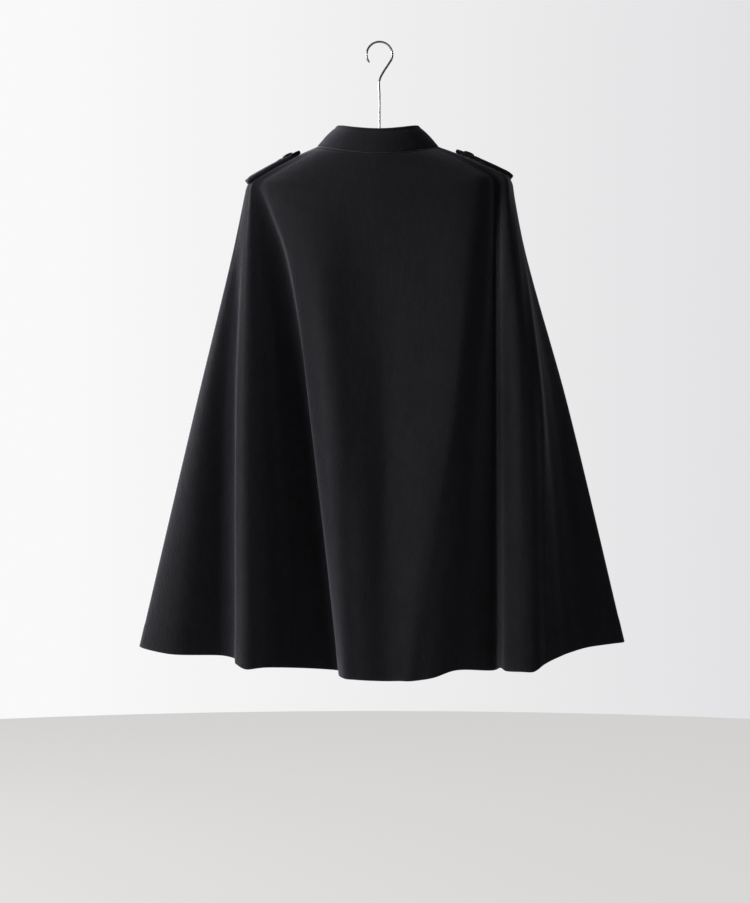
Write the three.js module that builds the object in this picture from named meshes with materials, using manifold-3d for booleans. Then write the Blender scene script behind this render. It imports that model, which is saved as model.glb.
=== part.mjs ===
// A wool cloak hung on a coat hanger: a back cut in one piece, two fronts buttoned right over left, a stand
// collar, two shoulder straps, and the hanger that carries them.
// Millimetres. +Z is up, the fronts face -Y, the wearer's left is +X, and the origin is where the hook bears
// on whatever it hangs from.
import * as THREE from "three";
import Module from "manifold-3d";

const wasm = await Module();
wasm.setup();

// The cloth, and the gap kept where two pieces are sewn together or lie on each other.
const bodyCloth = 2.4;
const collarCloth = 4;
const strapCloth = 5.5;
const seamGap = 0.3;

// The neckline, which the collar is sewn to, and the collar's top edge. Both are ovals, longer at the front, and
// sit a little to the left on the hanger.
const neckline = { side: 94, back: 62, front: 72, sideZ: -162, backZ: -180, frontZ: -225 };
const collarTop = { side: 62, back: 50, front: 57, sideZ: -129, backZ: -140, frontZ: -185 };
const neckShift = 2.5;

// The heights of the shoulder tips, and how far the same level dips at the middle of the back and front.
const shoulderLevel = { leftZ: -217, rightZ: -210, backDip: 22, frontDip: 50 };
const shoulderArch = 2.5;

// Lengths down the side seam: up the collar, along the shoulder, and from the shoulder tip to the hem.
const collarHeight = 44;
const shoulderRun = 124;
const dropRun = 725;
const hemAt = shoulderRun + dropRun;

// How softly the cloth turns over the end of the hanger, and at the collar seam.
const tipSoftness = 9;
const neckSoftness = 2.5;

// Each row is a line of the cloth that runs from the neckline over the shoulder and down to the hem, along a
// side seam, a fold's crest, edge or valley, or a front's edge. It gives the line's angle on the neckline, and
// its distance from the centre line (x) and out from the hanger (out) at the shoulder tip, the chest, the
// waist and the hem, and the height of the hem there. The rows go round from the left side by the back.
const levels = [0, 0.165, 0.49, 1];
const lines = [
  { name: "left side seam", neck: 0, x: [205, 230, 286, 372], out: [0, 0, 0, 0], hem: -936 },
  { name: "left flap crest", neck: 5, x: [204.5, 225, 270, 322], out: [4, 7, 20, 32], hem: -944.5 },
  { name: "left flap valley", neck: 10, x: [203, 219, 237, 243], out: [8, 12.5, 15.5, 12.5], hem: -949 },
  { name: "left ridge flank", neck: 14, x: [202, 214.5, 225, 225], out: [10, 17.5, 20, 18], hem: -952.5 },
  { name: "left ridge edge", neck: 17, x: [200, 210, 218, 219], out: [13, 23, 37, 50], hem: -957 },
  { name: "left ridge crest", neck: 21, x: [198, 201, 204, 203], out: [17, 31, 50, 71], hem: -963.5 },
  { name: "left ridge fall", neck: 25, x: [196, 187, 180, 172], out: [18, 29, 44, 63], hem: -961.5 },
  { name: "left trough", neck: 29, x: [188, 144, 106, 64], out: [22, 19, 14, 14], hem: -972 },
  { name: "middle fold edge", neck: 34, x: [178, 136, 103, 61.5], out: [31, 40, 50, 56], hem: -975 },
  { name: "middle fold side", neck: 42, x: [150, 111, 80, 53], out: [45, 57, 73, 84], hem: -976.5 },
  { name: "middle fold left crest", neck: 56, x: [102, 84, 59, 39], out: [58, 66, 81, 91.5], hem: -977 },
  { name: "middle fold hollow", neck: 84, x: [20, 6, -10, -10], out: [68, 60, 72, 86], hem: -979.5 },
  { name: "middle fold rise", neck: 106, x: [-62, -64, -52, -30], out: [67, 67, 79, 87.5], hem: -979 },
  { name: "middle fold right crest", neck: 126, x: [-128, -126, -104, -48], out: [62, 74, 90, 90.5], hem: -979 },
  { name: "middle fold fall", neck: 137, x: [-152, -146, -123, -80], out: [57, 68, 84, 85], hem: -975 },
  { name: "right trough side", neck: 145, x: [-166, -160, -143, -115], out: [48, 57, 73, 72], hem: -965 },
  { name: "right trough", neck: 152, x: [-177, -176.5, -176, -175], out: [36, 39, 42, 35], hem: -969 },
  { name: "right ridge edge", neck: 157, x: [-184, -181, -182, -184], out: [35, 49, 54, 49], hem: -963.5 },
  { name: "right ridge left top", neck: 161, x: [-190, -187.5, -190, -192], out: [36, 59, 64, 62], hem: -967 },
  { name: "right ridge right top", neck: 165, x: [-196, -201, -211, -216], out: [32, 62.5, 71, 70], hem: -967.5 },
  { name: "right ridge side", neck: 168, x: [-200, -210, -224, -232], out: [22, 58.5, 70, 69], hem: -968 },
  { name: "right flap valley", neck: 171, x: [-202, -215, -233.5, -240], out: [13, 51, 66.5, 65.5], hem: -965 },
  { name: "right flap lip", neck: 173.5, x: [-203.5, -219, -244, -252], out: [7, 39, 61, 62], hem: -956 },
  { name: "right flap side", neck: 177, x: [-204.5, -222.5, -268, -314], out: [3, 17, 25, 27], hem: -936 },
  { name: "right side seam", neck: 180, x: [-204, -227, -292, -380], out: [0, 0, 0, 0], hem: -929 },
  { name: "right front flap", neck: 187, x: [-206, -222, -276, -344], out: [-5, -10, -15, -20], hem: -931 },
  { name: "right front ridge", neck: 200, x: [-200, -200, -214, -240], out: [-15, -29, -44, -60], hem: -944 },
  { name: "right front trough", neck: 214, x: [-190, -158, -162, -182], out: [-23, -26, -25, -24], hem: -946 },
  { name: "right front crest", neck: 235, x: [-152, -108, -102, -108], out: [-44, -62, -72, -82], hem: -950 },
  { name: "left front edge", neck: 259, x: [-18, -18, -18, -18], out: [-81, -80, -76, -74], hem: -948 },
  { name: "centre front", neck: 270, x: [0, 0, 0, 0], out: [-82, -81, -77, -75], hem: -948 },
  { name: "right front edge", neck: 281, x: [18, 18, 18, 18], out: [-81, -80, -76, -74], hem: -948 },
  { name: "left front crest", neck: 305, x: [150, 106, 94, 88], out: [-44, -61, -68, -76], hem: -949 },
  { name: "left front trough", neck: 326, x: [190, 160, 152, 156], out: [-23, -27, -26, -23], hem: -945 },
  { name: "left front ridge", neck: 340, x: [199, 199, 210, 232], out: [-15, -28, -42, -57], hem: -944 },
  { name: "left front flap", neck: 353, x: [204.5, 224, 272, 336], out: [-5, -9, -15, -20], hem: -938 },
];
const lineAt = Object.fromEntries(lines.map((line, i) => [line.name, i]));
const leftSeam = lineAt["left side seam"];
const rightSeam = lineAt["right side seam"];
const centreFront = lineAt["centre front"];

// About how wide one face of the cloth may be, the fewest faces between two lines, and where the rings of the
// cloth lie down the side seam.
const bodyFaces = { width: 16, fewest: 2 };
const collarFaces = { width: 9, fewest: 1 };
const bodyRings = [0, 15, 36, 60, 84, 102, 113, 121, 129, 140, 158, 188, 230, 285, 350, 430, 520, 620, 735, hemAt];
const collarRings = [0, -10, -22, -34, -collarHeight];

// The left front lies under the right one at the centre. It steps inwards by its lap between these distances
// from the centre line.
const lap = bodyCloth + 0.5;
const lapFrom = 46;
const lapTo = 21;

// The shoulder straps lie along the shoulder, from the free point near the collar to just past the tip.
const strap = { from: 28, to: 125, halfWidth: 18, point: 15, halfTip: 2, lift: 1.3, hug: 0.7, faces: 12, across: 6 };
const strapButton = { radius: 8.5, height: 2.6, fromPoint: 21 };

const frontButton = { radius: 12.5, height: 4, topZ: -250, spacing: 105, count: 5 };

// The hanger's arms: half widths and heights at the hub and at the ends, and the wire of the hook.
const hanger = { hubTopZ: -146, hubHalfWidth: 7, hubHeight: 34, endHalfWidth: 10, endHeight: 20, endAt: 112, underCloth: 1 };
const hook = { wire: 1.6, bend: 20, shankTo: -58, bore: 24, boreGap: 0.3 };

const woolColour = 0x17171a;
const buttonColour = 0x1d1a19;
const woodColour = 0xb98f62;
const steelColour = 0xb9bcc0;

// A value given at each of the four levels, as a smooth curve down the line.
function alongLine(values, share) {
  let i = 0;
  while (i < levels.length - 2 && share > levels[i + 1]) i++;
  const slopeAt = (k) => {
    const a = Math.max(k - 1, 0);
    const b = Math.min(k + 1, levels.length - 1);
    return (values[b] - values[a]) / (levels[b] - levels[a]);
  };
  const span = levels[i + 1] - levels[i];
  const u = (share - levels[i]) / span;
  const start = values[i];
  const end = values[i + 1];
  const startSlope = slopeAt(i) * span;
  const endSlope = slopeAt(i + 1) * span;
  const bend = 2 * (start - end) + startSlope + endSlope;
  const curve = 3 * (end - start) - 2 * startSlope - endSlope;
  return start + u * (startSlope + u * (curve + u * bend));
}

// A point on an oval edge such as the neckline, at an angle from the left side round by the back.
function onOval(oval, degrees) {
  const angle = THREE.MathUtils.degToRad(degrees);
  const across = Math.sin(angle);
  const reach = across > 0 ? oval.back : oval.front;
  const middleZ = across > 0 ? oval.backZ : oval.frontZ;
  const z = oval.sideZ + (middleZ - oval.sideZ) * across * across;
  return new THREE.Vector3(neckShift + oval.side * Math.cos(angle), reach * across, z);
}

function shoulderPoint(line) {
  const angle = THREE.MathUtils.degToRad(line.neck);
  const across = Math.sin(angle);
  const dip = across > 0 ? shoulderLevel.backDip : shoulderLevel.frontDip;
  const tipZ = THREE.MathUtils.lerp(shoulderLevel.rightZ, shoulderLevel.leftZ, (1 + Math.cos(angle)) / 2);
  return new THREE.Vector3(line.x[0], line.out[0], tipZ - dip * across * across);
}

// Where a line is, at a distance down the side seam from the neckline. Above the neckline it is the collar.
function linePoint(line, down) {
  const neck = onOval(neckline, line.neck);
  if (down < 0) return neck.lerp(onOval(collarTop, line.neck), -down / collarHeight);
  const tip = shoulderPoint(line);
  if (down < shoulderRun) {
    const share = down / shoulderRun;
    const point = neck.lerp(tip, share);
    point.z += shoulderArch * 4 * share * (1 - share);
    return point;
  }
  const share = (down - shoulderRun) / dropRun;
  const z = THREE.MathUtils.lerp(tip.z, line.hem, share);
  return new THREE.Vector3(alongLine(line.x, share), alongLine(line.out, share), z);
}

// A ring round the cloth through every line, kept once made.
const rings = new Map();
function ringAt(down) {
  const key = Math.round(down * 1000);
  if (!rings.has(key)) {
    const points = lines.map((line) => linePoint(line, down));
    rings.set(key, new THREE.CatmullRomCurve3(points, true, "centripetal"));
  }
  return rings.get(key);
}

// A point on the cloth's outer face. round counts lines, and down is the distance down the side seam.
function clothPoint(round, down) {
  const nearTip = THREE.MathUtils.smoothstep(down, shoulderRun * 0.3, shoulderRun * 0.8);
  const softness = THREE.MathUtils.lerp(neckSoftness, tipSoftness, nearTip);
  const u = (round + lines.length) / lines.length;
  const at = (d) => ringAt(d).getPoint(u % 1);
  return at(down)
    .multiplyScalar(2)
    .add(at(down - softness))
    .add(at(down + softness))
    .divideScalar(4);
}

// The cloth's outer face at a place: the point, the directions round and down the cloth, and the way out.
function clothFrame(round, down) {
  const roundStep = 0.02;
  const downStep = 1;
  const point = clothPoint(round, down);
  const along = clothPoint(round + roundStep, down).sub(clothPoint(round - roundStep, down)).normalize();
  const below = clothPoint(round, down + downStep).sub(clothPoint(round, down - downStep)).normalize();
  const out = below.clone().cross(along).normalize();
  return { point, along, below, out };
}

// A closed solid from a grid of outer points and the grid of inner points behind them.
function solidBetween(outer, inner) {
  const across = outer.length;
  const down = outer[0].length;
  const points = [...outer.flat(), ...inner.flat()];
  const innerStart = across * down;
  const outerIndex = (i, j) => i * down + j;
  const innerIndex = (i, j) => innerStart + i * down + j;
  const triangles = [];
  const quad = (a, b, c, d) => triangles.push(a, b, c, a, c, d);
  for (let i = 0; i < across - 1; i++) {
    for (let j = 0; j < down - 1; j++) {
      quad(outerIndex(i, j), outerIndex(i, j + 1), outerIndex(i + 1, j + 1), outerIndex(i + 1, j));
      quad(innerIndex(i, j), innerIndex(i + 1, j), innerIndex(i + 1, j + 1), innerIndex(i, j + 1));
    }
    const last = down - 1;
    quad(outerIndex(i, 0), outerIndex(i + 1, 0), innerIndex(i + 1, 0), innerIndex(i, 0));
    quad(outerIndex(i, last), innerIndex(i, last), innerIndex(i + 1, last), outerIndex(i + 1, last));
  }
  for (let j = 0; j < down - 1; j++) {
    const last = across - 1;
    quad(outerIndex(0, j), innerIndex(0, j), innerIndex(0, j + 1), outerIndex(0, j + 1));
    quad(outerIndex(last, j), outerIndex(last, j + 1), innerIndex(last, j + 1), innerIndex(last, j));
  }
  const geometry = new THREE.BufferGeometry();
  geometry.setAttribute("position", new THREE.Float32BufferAttribute(points.flatMap((p) => p.toArray()), 3));
  geometry.setIndex(triangles);
  geometry.computeVertexNormals();
  return geometry;
}

// Places round the cloth from one line to another, close enough together for faces of a given width.
function placesRound(fromLine, toLine, down, faces) {
  const places = [];
  for (let line = fromLine; line < toLine; line++) {
    const gap = clothPoint(line, down).distanceTo(clothPoint(line + 1, down));
    const count = Math.max(faces.fewest, Math.ceil(gap / faces.width));
    for (let i = 0; i < count; i++) places.push(line + i / count);
  }
  return [...places, toLine];
}

// One sewn panel of cloth, from one line round to another and over a list of rings. proud moves its outer face
// out of the cloth's face, and every edge stops half a seam gap short.
function panel(fromLine, toLine, ringList, faces, thickness, proud) {
  const outer = [];
  const inner = [];
  const lastRing = ringList.length - 1;
  const downwards = Math.sign(ringList[lastRing] - ringList[0]);
  const places = placesRound(fromLine, toLine, Math.max(...ringList), faces);
  for (const [i, round] of places.entries()) {
    const endSide = i === 0 ? 1 : i === places.length - 1 ? -1 : 0;
    const column = ringList.map((down, j) => {
      const frame = clothFrame(round, down);
      const endRing = j === 0 ? downwards : j === lastRing ? -downwards : 0;
      const point = frame.point
        .addScaledVector(frame.along, (endSide * seamGap) / 2)
        .addScaledVector(frame.below, (endRing * seamGap) / 2);
      return { point, out: frame.out };
    });
    outer.push(column.map(({ point, out }) => point.clone().addScaledVector(out, proud(point))));
    inner.push(column.map(({ point, out }) => point.clone().addScaledVector(out, proud(point) - thickness)));
  }
  return downwards > 0 ? solidBetween(outer, inner) : solidBetween(inner, outer);
}

const flush = () => 0;
const collarProud = () => (collarCloth - bodyCloth) / 2;
const underLap = (point) => -lap * (1 - THREE.MathUtils.smoothstep(point.x, lapTo, lapFrom));

// The cloth under a strap, at a distance along the shoulder and a distance y across it: how far it lies below
// the shoulder line there.
function clothDrop(ridge, side, along, y) {
  let round = (side > 0 ? leftSeam : rightSeam) + side * Math.sign(y) * Math.min(Math.abs(y) / 5, 5);
  let down = along;
  const miss = (r, d) => {
    const offset = clothPoint(r, d).sub(ridge.point);
    return [offset.dot(ridge.below), offset.y - y];
  };
  for (let n = 0; n < 12; n++) {
    const roundStep = 0.01;
    const downStep = 0.2;
    const [a, b] = miss(round, down);
    const [ar, br] = miss(round + roundStep, down);
    const [ad, bd] = miss(round, down + downStep);
    const rr = (ar - a) / roundStep;
    const rd = (ad - a) / downStep;
    const sr = (br - b) / roundStep;
    const sd = (bd - b) / downStep;
    const det = rr * sd - rd * sr;
    round -= THREE.MathUtils.clamp((a * sd - b * rd) / det, -1, 1);
    down -= THREE.MathUtils.clamp((b * rr - a * sr) / det, -15, 15);
  }
  return -clothPoint(round, down).sub(ridge.point).dot(ridge.out);
}

// A shoulder strap: a band with a blunt point, bent over the shoulder a little less than the cloth under it.
function strapGeometry(side) {
  const seam = side > 0 ? leftSeam : rightSeam;
  const upper = [];
  const lower = [];
  for (let i = 0; i <= strap.faces; i++) {
    const share = i / strap.faces;
    const down = THREE.MathUtils.lerp(strap.from, strap.to, share);
    const fromPoint = down - strap.from;
    const widen = Math.min(fromPoint / strap.point, 1);
    const halfWidth = THREE.MathUtils.lerp(strap.halfTip, strap.halfWidth, widen);
    const ridge = clothFrame(seam, down);
    const row = [];
    for (let j = 0; j <= strap.across; j++) {
      const y = halfWidth * (1 - (2 * j) / strap.across);
      const drop = Math.abs(y) < 0.01 ? 0 : clothDrop(ridge, side, down, y);
      const base = ridge.point.clone();
      base.y += y;
      base.addScaledVector(ridge.out, strap.lift - strap.hug * drop);
      row.push({ base, out: ridge.out });
    }
    upper.push(row.map(({ base, out }) => base.clone().addScaledVector(out, strapCloth)));
    lower.push(row.map(({ base }) => base.clone()));
  }
  return side > 0 ? solidBetween(upper, lower) : solidBetween(lower, upper);
}

// A sewn button: a low disc with a rim and a dished face, standing on z = 0.
function buttonGeometry({ radius, height }) {
  const rim = radius * 0.16;
  const dish = height * 0.3;
  const profile = [
    [0, 0],
    [radius * 0.8, 0],
    [radius, height * 0.35],
    [radius, height * 0.7],
    [radius - rim * 0.5, height],
    [radius - rim * 1.4, height * 0.96],
    [radius * 0.62, height - dish],
    [0, height - dish],
  ].map(([r, z]) => new THREE.Vector2(r, z));
  return new THREE.LatheGeometry(profile, 18).rotateX(Math.PI / 2);
}

function asManifold(geometry) {
  const mesh = new wasm.Mesh({
    numProp: 3,
    vertProperties: new Float32Array(geometry.getAttribute("position").array),
    triVerts: new Uint32Array(geometry.index.array),
  });
  mesh.merge();
  return new wasm.Manifold(mesh);
}

function asGeometry(solid) {
  const { vertProperties, triVerts } = solid.getMesh();
  const geometry = new THREE.BufferGeometry();
  geometry.setAttribute("position", new THREE.BufferAttribute(vertProperties, 3));
  geometry.setIndex(new THREE.BufferAttribute(triVerts, 1));
  geometry.computeVertexNormals();
  return geometry;
}

// The hanger's arms: an oval bar whose top follows the inside of the shoulders, bored at the hub for the hook.
function hangerGeometry() {
  const armStations = [8, 24, 42, 60, 78, 94, 106, hanger.endAt];
  const section = 12;
  const underCloth = (seam) => armStations.map((down) => {
    const frame = clothFrame(seam, down);
    return frame.point.addScaledVector(frame.out, -bodyCloth - hanger.underCloth);
  });
  const left = underCloth(leftSeam).reverse();
  const right = underCloth(rightSeam);
  const rise = [0.62, 0.3].map((share) => ({
    x: left.at(-1).x * share,
    z: THREE.MathUtils.lerp(hanger.hubTopZ, left.at(-1).z, share * share),
  }));
  const middle = [
    ...rise.map(({ x, z }) => new THREE.Vector3(x, 0, z)),
    new THREE.Vector3(0, 0, hanger.hubTopZ),
    ...rise.reverse().map(({ x, z }) => new THREE.Vector3(-x, 0, z)),
  ];
  const top = [...left, ...middle, ...right];
  const farX = top[0].x;
  const outerPoints = top.map((point) => {
    const share = Math.min(Math.abs(point.x) / farX, 1);
    const halfWidth = THREE.MathUtils.lerp(hanger.hubHalfWidth, hanger.endHalfWidth, share);
    const height = THREE.MathUtils.lerp(hanger.hubHeight, hanger.endHeight, Math.sqrt(share));
    const ring = [];
    for (let k = 0; k < section; k++) {
      const angle = (k / section) * Math.PI * 2;
      const y = halfWidth * Math.sin(angle);
      const z = point.z - (height / 2) * (1 - Math.cos(angle));
      ring.push(new THREE.Vector3(point.x, y, z));
    }
    return ring;
  });
  const points = outerPoints.flat();
  const triangles = [];
  for (let i = 0; i < top.length - 1; i++) {
    for (let k = 0; k < section; k++) {
      const next = (k + 1) % section;
      const a = i * section + k;
      const b = i * section + next;
      const c = (i + 1) * section + next;
      const d = (i + 1) * section + k;
      triangles.push(a, b, c, a, c, d);
    }
  }
  const last = (top.length - 1) * section;
  for (let k = 1; k < section - 1; k++) {
    triangles.push(0, k + 1, k);
    triangles.push(last, last + k, last + k + 1);
  }
  const bar = new THREE.BufferGeometry();
  bar.setAttribute("position", new THREE.Float32BufferAttribute(points.flatMap((p) => p.toArray()), 3));
  bar.setIndex(triangles);
  const bore = new THREE.CylinderGeometry(hook.wire + hook.boreGap, hook.wire + hook.boreGap, hook.bore * 2, 12);
  bore.deleteAttribute("normal");
  bore.deleteAttribute("uv");
  bore.rotateX(Math.PI / 2).translate(0, 0, hanger.hubTopZ);
  return asGeometry(asManifold(bar).subtract(asManifold(bore)));
}

// The hook: a straight shank that swings out and over in a round bend, open on one side.
function hookGeometry() {
  const centreZ = hook.wire - hook.bend;
  const shankFoot = hanger.hubTopZ - hook.bore + hook.boreGap;
  const points = [];
  const shankSteps = 5;
  for (let i = 0; i <= shankSteps; i++) {
    points.push(new THREE.Vector3(0, 0, THREE.MathUtils.lerp(shankFoot, hook.shankTo, i / shankSteps)));
  }
  for (let degrees = 222; degrees >= -40; degrees -= 20) {
    const angle = THREE.MathUtils.degToRad(degrees);
    points.push(new THREE.Vector3(hook.bend * Math.cos(angle), 0, centreZ + hook.bend * Math.sin(angle)));
  }
  const path = new THREE.CatmullRomCurve3(points, false, "centripetal");
  const wire = new THREE.Shape().absarc(0, 0, hook.wire, 0, Math.PI * 2, false);
  return new THREE.ExtrudeGeometry(wire, { steps: 54, curveSegments: 4, extrudePath: path });
}

const cloak = new THREE.Group();
const cloth = new THREE.Group();
const fastenings = new THREE.Group();
const support = new THREE.Group();
cloak.add(cloth, fastenings, support);

function add(group, name, geometry, colour, roughness, metalness = 0) {
  const material = new THREE.MeshStandardMaterial({ color: colour, roughness, metalness });
  const mesh = new THREE.Mesh(geometry, material);
  mesh.name = name;
  group.add(mesh);
  return mesh;
}

const leftFrontEnd = lineAt["left front edge"];
const rightFrontEnd = lineAt["right front edge"];
const wholeRound = lines.length;
const wool = [woolColour, 0.95];
add(cloth, "back", panel(leftSeam, rightSeam, bodyRings, bodyFaces, bodyCloth, flush), ...wool);
add(cloth, "front_right", panel(rightSeam, rightFrontEnd, bodyRings, bodyFaces, bodyCloth, flush), ...wool);
add(cloth, "front_left", panel(leftFrontEnd, wholeRound, bodyRings, bodyFaces, bodyCloth, underLap), ...wool);
const collarStart = centreFront - wholeRound;
add(cloth, "collar", panel(collarStart, centreFront, collarRings, collarFaces, collarCloth, collarProud), ...wool);
for (const [name, side] of [["left", 1], ["right", -1]]) {
  add(cloth, `shoulder_strap_${name}`, strapGeometry(side), ...wool);
}

// Stands a button on the cloth's face at a place, clear of it by half a gap over what it lies on.
function placeButton(mesh, frame, lift) {
  mesh.position.copy(frame.point).addScaledVector(frame.out, lift);
  mesh.quaternion.setFromUnitVectors(new THREE.Vector3(0, 0, 1), frame.out);
}

for (const [name, side] of [["left", 1], ["right", -1]]) {
  const seam = side > 0 ? leftSeam : rightSeam;
  const mesh = add(fastenings, `strap_button_${name}`, buttonGeometry(strapButton), buttonColour, 0.4);
  placeButton(mesh, clothFrame(seam, strap.from + strapButton.fromPoint), strap.lift + strapCloth + seamGap);
}

// The distance down the side seam at which the centre front is at a height.
function centreFrontAt(height) {
  let low = 0;
  let high = hemAt;
  for (let n = 0; n < 30; n++) {
    const middle = (low + high) / 2;
    if (clothPoint(centreFront, middle).z > height) low = middle;
    else high = middle;
  }
  return low;
}

for (let i = 0; i < frontButton.count; i++) {
  const mesh = add(fastenings, `front_button_${i + 1}`, buttonGeometry(frontButton), buttonColour, 0.4);
  const down = centreFrontAt(frontButton.topZ - i * frontButton.spacing);
  placeButton(mesh, clothFrame(centreFront, down), seamGap);
}

add(support, "hanger_arms", hangerGeometry(), woodColour, 0.5);
add(support, "hanger_hook", hookGeometry(), steelColour, 0.3, 1);

export default cloak;
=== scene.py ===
import math
import bmesh
import bpy
import numpy as np
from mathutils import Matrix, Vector


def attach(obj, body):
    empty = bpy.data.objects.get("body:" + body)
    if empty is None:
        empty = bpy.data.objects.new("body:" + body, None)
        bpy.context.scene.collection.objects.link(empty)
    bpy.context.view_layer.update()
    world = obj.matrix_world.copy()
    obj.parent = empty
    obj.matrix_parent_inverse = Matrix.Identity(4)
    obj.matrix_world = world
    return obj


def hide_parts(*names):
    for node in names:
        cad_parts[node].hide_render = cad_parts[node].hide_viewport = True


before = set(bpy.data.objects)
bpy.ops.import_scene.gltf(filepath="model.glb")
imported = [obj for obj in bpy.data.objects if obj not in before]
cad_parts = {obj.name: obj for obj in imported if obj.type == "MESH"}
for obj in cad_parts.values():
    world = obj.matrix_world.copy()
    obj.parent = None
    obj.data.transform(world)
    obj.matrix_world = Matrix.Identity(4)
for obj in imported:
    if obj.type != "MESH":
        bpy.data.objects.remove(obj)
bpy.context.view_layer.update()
scene = bpy.context.scene
print("frame loaded")


# camera and light

cameraView = {
    "metresPerPixel": 0.00155,  # at the plane of the side seams
    "frameWidth": 750,
    "frameHeight": 903,
    "hookAt": (379.5, 42.8),  # where the top of the hook falls in the frame, in pixels
    "eyeLevel": 446,
    "distance": 3.0,
}

def aim(thing, target):
    way = Vector(target) - thing.location
    thing.rotation_euler = way.to_track_quat("-Z", "Y").to_euler()

scale = cameraView["metresPerPixel"]
eyeX = (cameraView["hookAt"][0] - cameraView["frameWidth"] / 2) * scale
eyeZ = (cameraView["hookAt"][1] - cameraView["eyeLevel"]) * scale
lens = bpy.data.cameras.new("camera")
lens.sensor_width = 36
lens.lens = 36 * cameraView["distance"] / (cameraView["frameHeight"] * scale)
lens.shift_y = (cameraView["eyeLevel"] - cameraView["frameHeight"] / 2) / cameraView["frameHeight"]
camera = bpy.data.objects.new("camera", lens)
camera.location = (eyeX, cameraView["distance"], eyeZ)
camera.rotation_euler = (math.radians(90), 0, math.radians(180))
scene.collection.objects.link(camera)
scene.camera = camera
scene.view_settings.view_transform = "Standard"

lamps = {
    "windowSide": {"at": (4.25, 1.65, 0.5), "to": (0, 0, -0.4), "size": 1.5, "watts": 196},
    "ceilingFill": {"at": (0.9, 1.9, 2.4), "to": (0, 0, -0.4), "size": 1.6, "watts": 3},
    "frontFill": {"at": (3.6, -1.8, 0.5), "to": (0, 0, -0.5), "size": 1.6, "watts": 110},
}
for lampName, lamp in lamps.items():
    light = bpy.data.lights.new(lampName, "AREA")
    light.size = lamp["size"]
    light.energy = lamp["watts"]
    lampObject = bpy.data.objects.new(lampName, light)
    lampObject.location = lamp["at"]
    aim(lampObject, lamp["to"])
    scene.collection.objects.link(lampObject)


# small helpers

def linear(hexColour):
    parts = [int(hexColour[i:i + 2], 16) / 255 for i in (1, 3, 5)]
    return [p / 12.92 if p <= 0.04045 else ((p + 0.055) / 1.055) ** 2.4 for p in parts] + [1]

def perMetre(millimetres):
    return 1000 / millimetres

def addNode(tree, kind, settings=None, inputs=None):
    node = tree.nodes.new(kind)
    for key, value in (settings or {}).items():
        setattr(node, key, value)
    for key, value in (inputs or {}).items():
        if isinstance(value, bpy.types.Node):
            value = value.outputs[0]
        if isinstance(value, bpy.types.NodeSocket):
            tree.links.new(value, node.inputs[key])
        else:
            node.inputs[key].default_value = value
    return node

def newMaterial(name):
    material = bpy.data.materials.new(name)
    material.use_nodes = True
    tree = material.node_tree
    tree.nodes.clear()
    return material, tree

def unit(v):
    return v / np.maximum(np.linalg.norm(v, axis=-1, keepdims=True), 1e-12)

def smoothStep(value, low, high):
    t = np.clip((value - low) / (high - low), 0, 1)
    return t * t * (3 - 2 * t)


# backdrop and floor

studio = {
    "backdropLeft": "#f9f9f9",
    "backdropRight": "#e0e0e2",
    "shadeFrom": -0.22,  # the backdrop's painted light falloff, brighter on the lamp's side, runs between these two across the camera's view
    "shadeTo": 0.16,
    "ambient": 0.065,
    "floorColour": "#e9e8e6",
    "floorZ": -1.72,
    "floorRadius": 5.0,
    "floorEvenness": 0.75,  # how far the seen floor keeps its own tone, not the lamps' pools of light
}
world = bpy.data.worlds.new("studio")
scene.world = world
world.use_nodes = True
sky = world.node_tree
sky.nodes.clear()
seen = addNode(sky, "ShaderNodeLightPath")
skyPlace = addNode(sky, "ShaderNodeTexCoord").outputs["Generated"]
lookWay = addNode(sky, "ShaderNodeSeparateXYZ", inputs={0: skyPlace})
leftness = addNode(sky, "ShaderNodeMapRange", inputs={
    "Value": lookWay, "From Min": studio["shadeFrom"], "From Max": studio["shadeTo"]})
# painted light falloff on the backdrop: brighter on the left, the lamp's side, and darker away from it
paintedBackdropFalloff = addNode(sky, "ShaderNodeMix", {"data_type": "RGBA"}, {
    0: leftness, 6: linear(studio["backdropRight"]), 7: linear(studio["backdropLeft"])})
paleBackdrop = addNode(sky, "ShaderNodeBackground", inputs={"Color": paintedBackdropFalloff.outputs[2], "Strength": 1})
softAmbient = addNode(sky, "ShaderNodeBackground", inputs={
    "Color": (1, 1, 1, 1), "Strength": studio["ambient"]})
skyMix = addNode(sky, "ShaderNodeMixShader", inputs={
    0: seen.outputs["Is Camera Ray"], 1: softAmbient, 2: paleBackdrop})
addNode(sky, "ShaderNodeOutputWorld", inputs={"Surface": skyMix})

def paintedFloor():  # matt emulsion, rolled, so it is even and has no shine
    material, tree = newMaterial("paintedFloor")
    grain = addNode(tree, "ShaderNodeTexNoise", inputs={"Scale": perMetre(4), "Detail": 2})
    bump = addNode(tree, "ShaderNodeBump", inputs={
        "Height": grain, "Strength": 0.05, "Distance": 0.001})
    paint = addNode(tree, "ShaderNodeBsdfPrincipled", inputs={
        "Base Color": linear(studio["floorColour"]), "Roughness": 0.9, "Normal": bump})
    evenTone = addNode(tree, "ShaderNodeEmission", inputs={
        "Color": linear(studio["floorColour"]), "Strength": 1})
    share = addNode(tree, "ShaderNodeMath", {"operation": "MULTIPLY"}, {
        0: addNode(tree, "ShaderNodeLightPath").outputs["Is Camera Ray"], 1: studio["floorEvenness"]})
    both = addNode(tree, "ShaderNodeMixShader", inputs={0: share, 1: paint, 2: evenTone})
    # from below the floor can be seen through, so that it doesn't hide the hem
    oneSided = addNode(tree, "ShaderNodeMixShader", inputs={
        0: addNode(tree, "ShaderNodeNewGeometry").outputs["Backfacing"], 1: both,
        2: addNode(tree, "ShaderNodeBsdfTransparent")})
    addNode(tree, "ShaderNodeOutputMaterial", inputs={"Surface": oneSided})
    return material

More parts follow.
